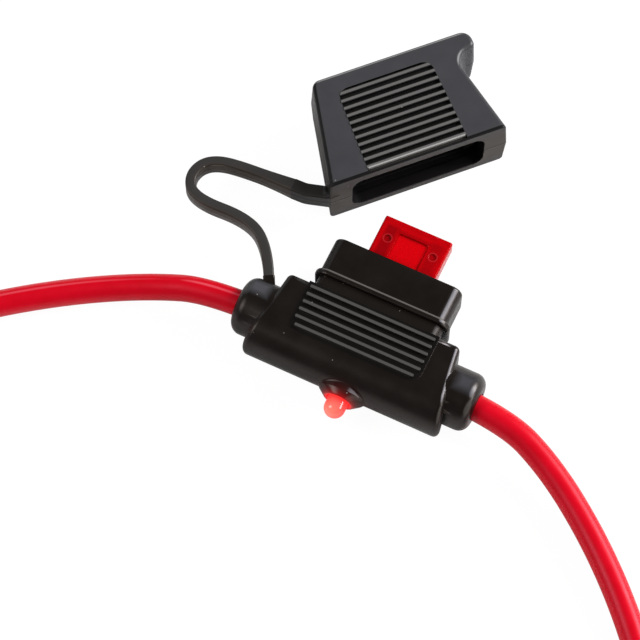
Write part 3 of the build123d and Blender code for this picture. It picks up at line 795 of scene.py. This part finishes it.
# %% The lie of the leads
lead_d, bare_d, bare = 0.0070, 0.0035, 0.008
lead_sides, collar_end = 40, 0.0335
left_route = np.array([
    (-21.5, 0, 8.7), (-41.5, 0, 8.7), (-57.5, -4.9, 5.7), (-74.2, -13.4, 4.0),
    (-90.5, -24.6, 3.5), (-105.3, -37.4, 3.5), (-118.0, -51.0, 3.5),
]) / 1000
right_route = np.array([
    (21.5, 0, 8.7), (41.0, 0, 8.7), (56.8, -6.3, 6.3), (72.6, -17.2, 4.5),
    (86.6, -29.9, 3.5), (99.0, -44.4, 3.5), (109.2, -60.8, 3.5),
]) / 1000
# Shares of the radius: of the rings that close the hidden end, and, after how far
# back each one lies, of those that turn in at the cut end.
closed_end = [0.0, 0.97]
cut_end = np.array(
    [(0.0002, 0.93), (0.0, 0.66), (0.0, 0.60), (0.0006, 0.59), (0.0040, 0.59), (0.0041, 0.0)]
)


def sleeve(name, line):
    """A tube of radius r(s) round the line; at the far end the wall turns in."""
    back = unit(line[-2] - line[-1])
    path = np.r_[line[:1], line[:-1], line[-1:] + back * cut_end[:, :1]]
    radii = np.r_[closed_end, np.ones(len(line) - 2), cut_end[:, 1]]
    forward = unit(np.gradient(line, axis=0))
    at_end = np.repeat(forward[-1:], len(cut_end), axis=0)
    forward = np.r_[forward[:1], forward[:-1], at_end]
    ring = circle(lead_sides) * lead_d / 2
    points = carried(path, ring, np.c_[radii, radii], forward)
    return grid_piece(name, points, lead_red, caps=False)


print("the leads are", lead_d * 1000, "mm thick, and", bare * 1000, "mm of each is bare")

# %% [markdown]
# The core is many fine wires laid in a spiral, so that it bends well. A twisted
# pattern on one thick bar would look flat at its tip, so each strand is a thin
# tube, and three rings of them are enough at this size.

# %% The strands at the stripped ends
strand_r, strand_sides = bare_d / 10, 8
hidden, twist, splay = 0.0035, 190.0, 0.06


def strands(name, line):
    """Strands laid in rings of 1, 6 and 12, each a helix round the lead's end.

    Strand k of n in a ring of radius R follows R (cos, sin)(2 pi k / n + twist s),
    and R grows a little towards the tip, where nothing holds the strands.
    """
    end, forward = line[-1], unit(line[-1] - line[-2])
    side, up = square_to(forward)
    s = np.linspace(-hidden, bare, 36)
    tubes = []
    for ring, count in ((0, 1), (2, 6), (4, 12)):
        angle = 2 * np.pi * np.arange(count)[:, None] / count + s[None] * twist + ring
        radius = ring * strand_r * (1 + splay * (s / bare).clip(0) ** 2)
        turning = np.cos(angle)[..., None] * side + np.sin(angle)[..., None] * up
        tubes += list(end + s[None, :, None] * forward + radius[None, :, None] * turning)
    shell = bmesh.new()
    for tube in tubes:
        part = grid_piece(name, carried(tube, circle(strand_sides) * strand_r), copper)
        shell.from_mesh(part.data)
        bpy.data.objects.remove(part)
    mesh = bpy.data.meshes.new(name)
    shell.to_mesh(mesh)
    shell.free()
    mesh.materials.append(copper)
    mesh.shade_smooth()
    mesh.set_sharp_from_angle(angle=np.radians(50))
    return show(name, mesh)


for side_name, route, sign in (("left", left_route, -1), ("right", right_route, 1)):
    line = line_points(route)
    tube = sleeve(f"lead_{side_name}", line)
    ends = strands(f"strands_{side_name}", line)
    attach(tube, "holder")
    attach(ends, "holder")
    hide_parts(f"lead_{side_name}_sleeve")
    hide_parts(f"lead_{side_name}_core")

# %% [markdown]
# The strap is moulded with the cap and pressed onto the collar. It crosses the
# only joint that bends it, and it is one piece. It swells towards its root on the cap.

# %% The strap
strap_width, strap_height, strap_corner = 0.0028, 0.0048, 0.0005
strap_plan = np.array([
    (-29.7, 9.1), (-33.3, 15.9), (-41.0, 21.7), (-57.6, 20.8),
    (-61.4, 26.3), (-58.7, 32.5), (-49.5, 34.6), (-35.1, 34.9),
]) / 1000
strap_rise = 0.00068
root_reach, root_swell = 0.010, (0.31, 0.18)


def rounded_box(width, height, corner, steps=5):
    """A rectangle with round corners, counter-clockwise."""
    t = np.linspace(0, np.pi / 2, steps)
    quarter = corner * np.stack([np.cos(t), np.sin(t)], axis=1)
    corners = []
    for turn, (x, y) in enumerate(((1, 1), (-1, 1), (-1, -1), (1, -1))):
        c, s = np.cos(turn * np.pi / 2), np.sin(turn * np.pi / 2)
        middle = (x * (width / 2 - corner), y * (height / 2 - corner))
        corners.append(quarter @ np.array([(c, s), (-s, c)]) + middle)
    return np.concatenate(corners)


heights = np.linspace(body_middle, body_middle + strap_rise, len(strap_plan))
line = line_points(np.c_[strap_plan, heights], resolution=24)
to_root = np.linalg.norm(line - line[-1], axis=1)
swell = np.clip(1 - to_root / root_reach, 0, 1) ** 1.5
scale = 1 + swell[:, None] * np.array(root_swell)
section = rounded_box(strap_width, strap_height, strap_corner)
strap = grid_piece("strap", carried(line, section, scale), strap_black)
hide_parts("cap_tether")
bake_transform(strap)
print(strap.name, round(line_length(line) * 1000, 1), "mm")

# %% [markdown]
# The strip of zinc in the fuse is staked through two holes, and a painted highlight
# lies on each rim. A rim is a ring, with the mask 1 - |distance from the axis - radius| / width.

# %% A ring round an upright axis, for the rims of the stakes
ring_round, given, made = new_group(
    "ring round an axis",
    {"Place": (0, 0, 0), "Centre": (0, 0, 0), "Radius": 0.001, "Width": 0.0002},
)
levelled = {0: given["Place"], 1: (1, 1, 0)}
level = add(ring_round, "VectorMath", levelled, operation="MULTIPLY").outputs["Vector"]
ends = {0: level, 1: given["Centre"]}
away = add(ring_round, "VectorMath", ends, operation="DISTANCE").outputs["Value"]
off = calculate(ring_round, "SUBTRACT", away, given["Radius"])
off = calculate(ring_round, "ABSOLUTE", off)
share = calculate(ring_round, "DIVIDE", off, given["Width"])
plug(ring_round, made["Mask"], calculate(ring_round, "SUBTRACT", 1.0, share, clamp=True))
print("group", ring_round.name)

# %% [markdown]
# The fuse is clear red plastic round its strip of zinc. Light that finds its way
# through clear plastic is slow to work out, so a third of it passes and the rest
# is painted: light in the window, where the plastic is thin, and dark over the
# bar at the top and over the two halves of the strip.

# %% The red of the fuse
window_half, window_far = 0.0043, 0.0344
bar_half, bar_near, bar_far = 0.0050, 0.0341, 0.0356
strip_x, strip_half, strip_far = 0.00645, 0.0019, 0.0361
fuse_near, stake_y = 0.02, 0.03185

fuse_red, tree, shader, coordinates = new_material("fuse_red")
place = coordinates["Object"]
cloud = noise(tree, place, scale=500.0, detail=2.0)
window = boxed(tree, place, (-window_half, fuse_near, 0), (window_half, window_far, 1), 0.0004)
top_bar = boxed(tree, place, (-bar_half, bar_near, 0), (bar_half, bar_far, 1), 0.0006)
layers = [(window, 1.0, (0.78, 0.0, 0.004)), (top_bar, 0.7, (0.34, 0.0, 0.002))]
for x, depth in ((-strip_x, 0.6), (strip_x, 0.35)):
    corners = (x - strip_half, fuse_near, 0), (x + strip_half, strip_far, 1)
    layers.append((boxed(tree, place, *corners, fade=0.0009), depth, (0.26, 0.0, 0.003)))
    # a painted highlight on the rim of the stake
    rim = {"Place": place, "Centre": (x, stake_y, 0), "Radius": 0.00115, "Width": 0.00028}
    layers.append((use(tree, ring_round, rim)["Mask"], 0.38, (0.85, 0.05, 0.06)))
colour = layered(tree, mix(tree, cloud, (0.52, 0.0, 0.002), (0.62, 0.0, 0.004)), layers)
plug(tree, shader.inputs["Base Color"], colour)
plug(tree, shader.inputs["Roughness"], between(tree, cloud, 0.12, 0.24))
edges = use(tree, soft_edges, {"Radius": 0.00015})
lift(tree, shader, cloud, strength=0.2, distance=0.00005, edges=edges)
shader.inputs["Specular IOR Level"].default_value = 0.3
shader.inputs["Specular Tint"].default_value = (1, 0.20, 0.20, 1)
shader.inputs["Transmission Weight"].default_value = 0.35
shader.inputs["IOR"].default_value = 1.49
print("material", fuse_red.name)


# %% [markdown]
# The strip of the fuse, the terminals and the lamp's wires are rolled and stamped
# metal. Rolling leaves fine lines, which noise draws when it is squeezed in one
# direction. The three metals differ only in colour and in dullness, so one
# function makes them all.


# %% The metals inside
def stamped_metal(name, dark, light, low, high):
    """Rolled strip: fine lines along X, dull from low to high, and punched edges."""
    material, tree, shader, coordinates = new_material(name)
    rolled = {"Vector": coordinates["Object"], "Scale": (300.0, 1800.0, 300.0)}
    rolled = add(tree, "Mapping", rolled).outputs["Vector"]
    lines = noise(tree, rolled, scale=4.0, detail=3.0)
    plug(tree, shader.inputs["Base Color"], mix(tree, lines, dark, light))
    plug(tree, shader.inputs["Roughness"], between(tree, lines, low, high))
    edges = use(tree, soft_edges, {"Radius": 0.00008})
    lift(tree, shader, lines, strength=0.2, distance=0.00001, edges=edges)
    shader.inputs["Metallic"].default_value = 1.0
    return material


zinc = stamped_metal("zinc", (0.42, 0.42, 0.44), (0.62, 0.62, 0.64), 0.3, 0.5)
brass = stamped_metal("brass", (0.60, 0.42, 0.17), (0.80, 0.62, 0.32), 0.25, 0.4)
tinned = stamped_metal("tinned", (0.55, 0.55, 0.56), (0.72, 0.72, 0.72), 0.25, 0.4)
print("materials", zinc.name, brass.name, tinned.name)

# %% [markdown]
# The resistor is lacquered clay, and the lamp's chip is a sawn crystal. Neither is
# seen from outside, so a tint with a fine speckle is enough for them.

# %% The small pieces of the lamp circuit
resistor_paint, tree, shader, coordinates = new_material("resistor_paint")
speckle = noise(tree, coordinates["Object"], scale=3000.0, detail=3.0)
tint = mix(tree, speckle, (0.50, 0.38, 0.25), (0.64, 0.52, 0.37))
plug(tree, shader.inputs["Base Color"], tint)
plug(tree, shader.inputs["Roughness"], between(tree, speckle, 0.35, 0.5))

die_grey, tree, shader, coordinates = new_material("die_grey")
speckle = noise(tree, coordinates["Object"], scale=8000.0, detail=2.0)
tint = mix(tree, speckle, (0.30, 0.26, 0.22), (0.40, 0.35, 0.30))
plug(tree, shader.inputs["Base Color"], tint)
print("materials", resistor_paint.name, die_grey.name)

# %% [markdown]
# The lamp is a diffused red lens, a cylinder with a dome and a flange at its
# foot. It glows from inside, palest near its tip, where the light leaves it most
# directly.

# %% The glow of the lens
pale_point, pale_reach = (0.0006, -0.0172, body_middle + 0.0012), 0.0034

lamp_red, tree, shader, coordinates = new_material("lamp_red")
place = coordinates["Object"]
ends = {0: place, 1: pale_point}
away = add(tree, "VectorMath", ends, operation="DISTANCE").outputs["Value"]
fading = {"Value": away, "From Min": 0.0, "From Max": pale_reach, "To Min": 1.0, "To Max": 0.0}
pale = add(tree, "MapRange", fading).outputs["Result"]
glow = mix(tree, pale, (0.92, 0.030, 0.028), (1.0, 0.26, 0.18))
plug(tree, shader.inputs["Emission Color"], glow)
shader.inputs["Emission Strength"].default_value = 1.0
grains = noise(tree, place, scale=2200.0, detail=2.0)
plug(tree, shader.inputs["Base Color"], mix(tree, grains, (0.40, 0.03, 0.03), (0.50, 0.05, 0.04)))
plug(tree, shader.inputs["Roughness"], between(tree, grains, 0.10, 0.20))
print("material", lamp_red.name)

# %% [markdown]
# The lens is a profile turned about the lamp's axis, which runs along Y. A point
# of the profile at y with radius r becomes the ring (x + r cos t, y, z + r sin t).

# %% The lens of the lamp
lamp_x, lamp_tip, lamp_base, lamp_r = 0.0010, -0.0187, -0.0101, 0.0028
lens_sides = 48
t = np.linspace(0, np.pi / 2, 16)
dome = np.stack([lamp_tip + lamp_r - lamp_r * np.cos(t), lamp_r * np.sin(t)], axis=1)
lip = [(-0.0011, 0.0), (-0.0010, 0.0003), (-0.0009, 0.0004), (-0.0001, 0.0004), (0.0, 0.0003)]
flange = np.array([lamp_base, lamp_r]) + lip
profile = np.r_[dome, flange, [(lamp_base, 0.0)]]
along, radius = profile[:, :1], profile[:, 1:]
cosine, sine = circle(lens_sides).T
x, z = lamp_x + radius * cosine, body_middle + radius * sine
points = np.stack([x, along + np.zeros(lens_sides), z], axis=-1)
lens_piece = grid_piece("lamp_lens_glow", points, lamp_red, caps=False, smooth=50)
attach(lens_piece, "holder")
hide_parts("lamp_lens")
print(lens_piece.name, len(lens_piece.data.vertices), "points")

# %% [markdown]
# The other pieces keep the frame's own meshes, which already have the right shape
# and the sharp edges of stamped metal. Only their materials are new.

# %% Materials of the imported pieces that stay
finishes = {
    "fuse_body": fuse_red,
    "fuse_element": zinc,
    "terminal_left": brass,
    "terminal_right": brass,
    "lamp_cathode": tinned,
    "lamp_anode": tinned,
    "lamp_die": die_grey,
    "lamp_bond": tinned,
    "resistor_body": resistor_paint,
    "resistor_cap_left": tinned,
    "resistor_cap_right": tinned,
    "resistor_lead": tinned,
}
for node, material in finishes.items():
    nodes[node].data.materials.clear()
    nodes[node].data.materials.append(material)
print(len(finishes), "packed pieces have their finish")

# %% [markdown]
# The holder lies on a plain white table, which shines a little by itself so that
# it stays white to the picture's edge. The black plastic mirrors it without that
# shine, as a catalogue picture is cut out from its ground.

# %% The table
table_half, table_top = 3, -0.00005
table_shine, shine_share = 1.04, 0.92

table_white, tree, shader, coordinates = new_material("table_white")
faint = noise(tree, coordinates["Object"], scale=30.0, detail=2.0)
tint = mix(tree, faint, (0.93, 0.93, 0.93), (0.95, 0.95, 0.95))
plug(tree, shader.inputs["Base Color"], tint)
shader.inputs["Roughness"].default_value = 0.9
shader.inputs["Specular IOR Level"].default_value = 0.1
rays = add(tree, "LightPath").outputs
seen = calculate(tree, "MAXIMUM", rays["Is Camera Ray"], rays["Is Transmission Ray"])
share = calculate(tree, "MULTIPLY", seen, shine_share)
shining = add(tree, "Emission", {"Color": (1, 1, 1, 1), "Strength": table_shine}).outputs[0]
surface = add(tree, "MixShader", {0: share, 1: shader.outputs[0], 2: shining}).outputs[0]
plug(tree, tree.nodes["Material Output"].inputs["Surface"], surface)

corners = ((-1, -1), (1, -1), (1, 1), (-1, 1))
mesh = bpy.data.meshes.new("table")
mesh.from_pydata(
    [(x * table_half, y * table_half, table_top) for x, y in corners], [], [(0, 1, 2, 3)]
)
mesh.materials.append(table_white)
table = show("table", mesh)
print(table.name, "is", 2 * table_half, "m wide")

# %% [markdown]
# The light is a broad soft lamp behind and to the right, a smaller one low at the
# side that draws a line of light along each rounded end, a weaker one in front,
# and an even grey sky.


# %% The light
def soft_lamp(name, place, size, power, target=(0, 0.02, 0)):
    """A square lamp that looks at the target, with its size in metres."""
    lamp = show(name, bpy.data.lights.new(name, "AREA"))
    lamp.data.size = size
    lamp.data.energy = power
    look_from(lamp, place, target)
    return lamp


lamps = [
    soft_lamp("key", (0.75, 0.80, 0.60), size=0.55, power=19.0),
    soft_lamp("side", (1.0, 0.2, 0.5), size=0.3, power=5.0),
    soft_lamp("fill", (-0.8, -0.5, 0.9), size=0.6, power=8.0),
]
sky_grey = (0.24, 0.24, 0.24, 1)
world = bpy.data.worlds.new("sky")
world.use_nodes = True
world.node_tree.nodes["Background"].inputs["Color"].default_value = sky_grey
bpy.context.scene.world = world
bpy.context.scene.view_settings.view_transform = "Standard"
print("light from", ", ".join(lamp.name for lamp in lamps))
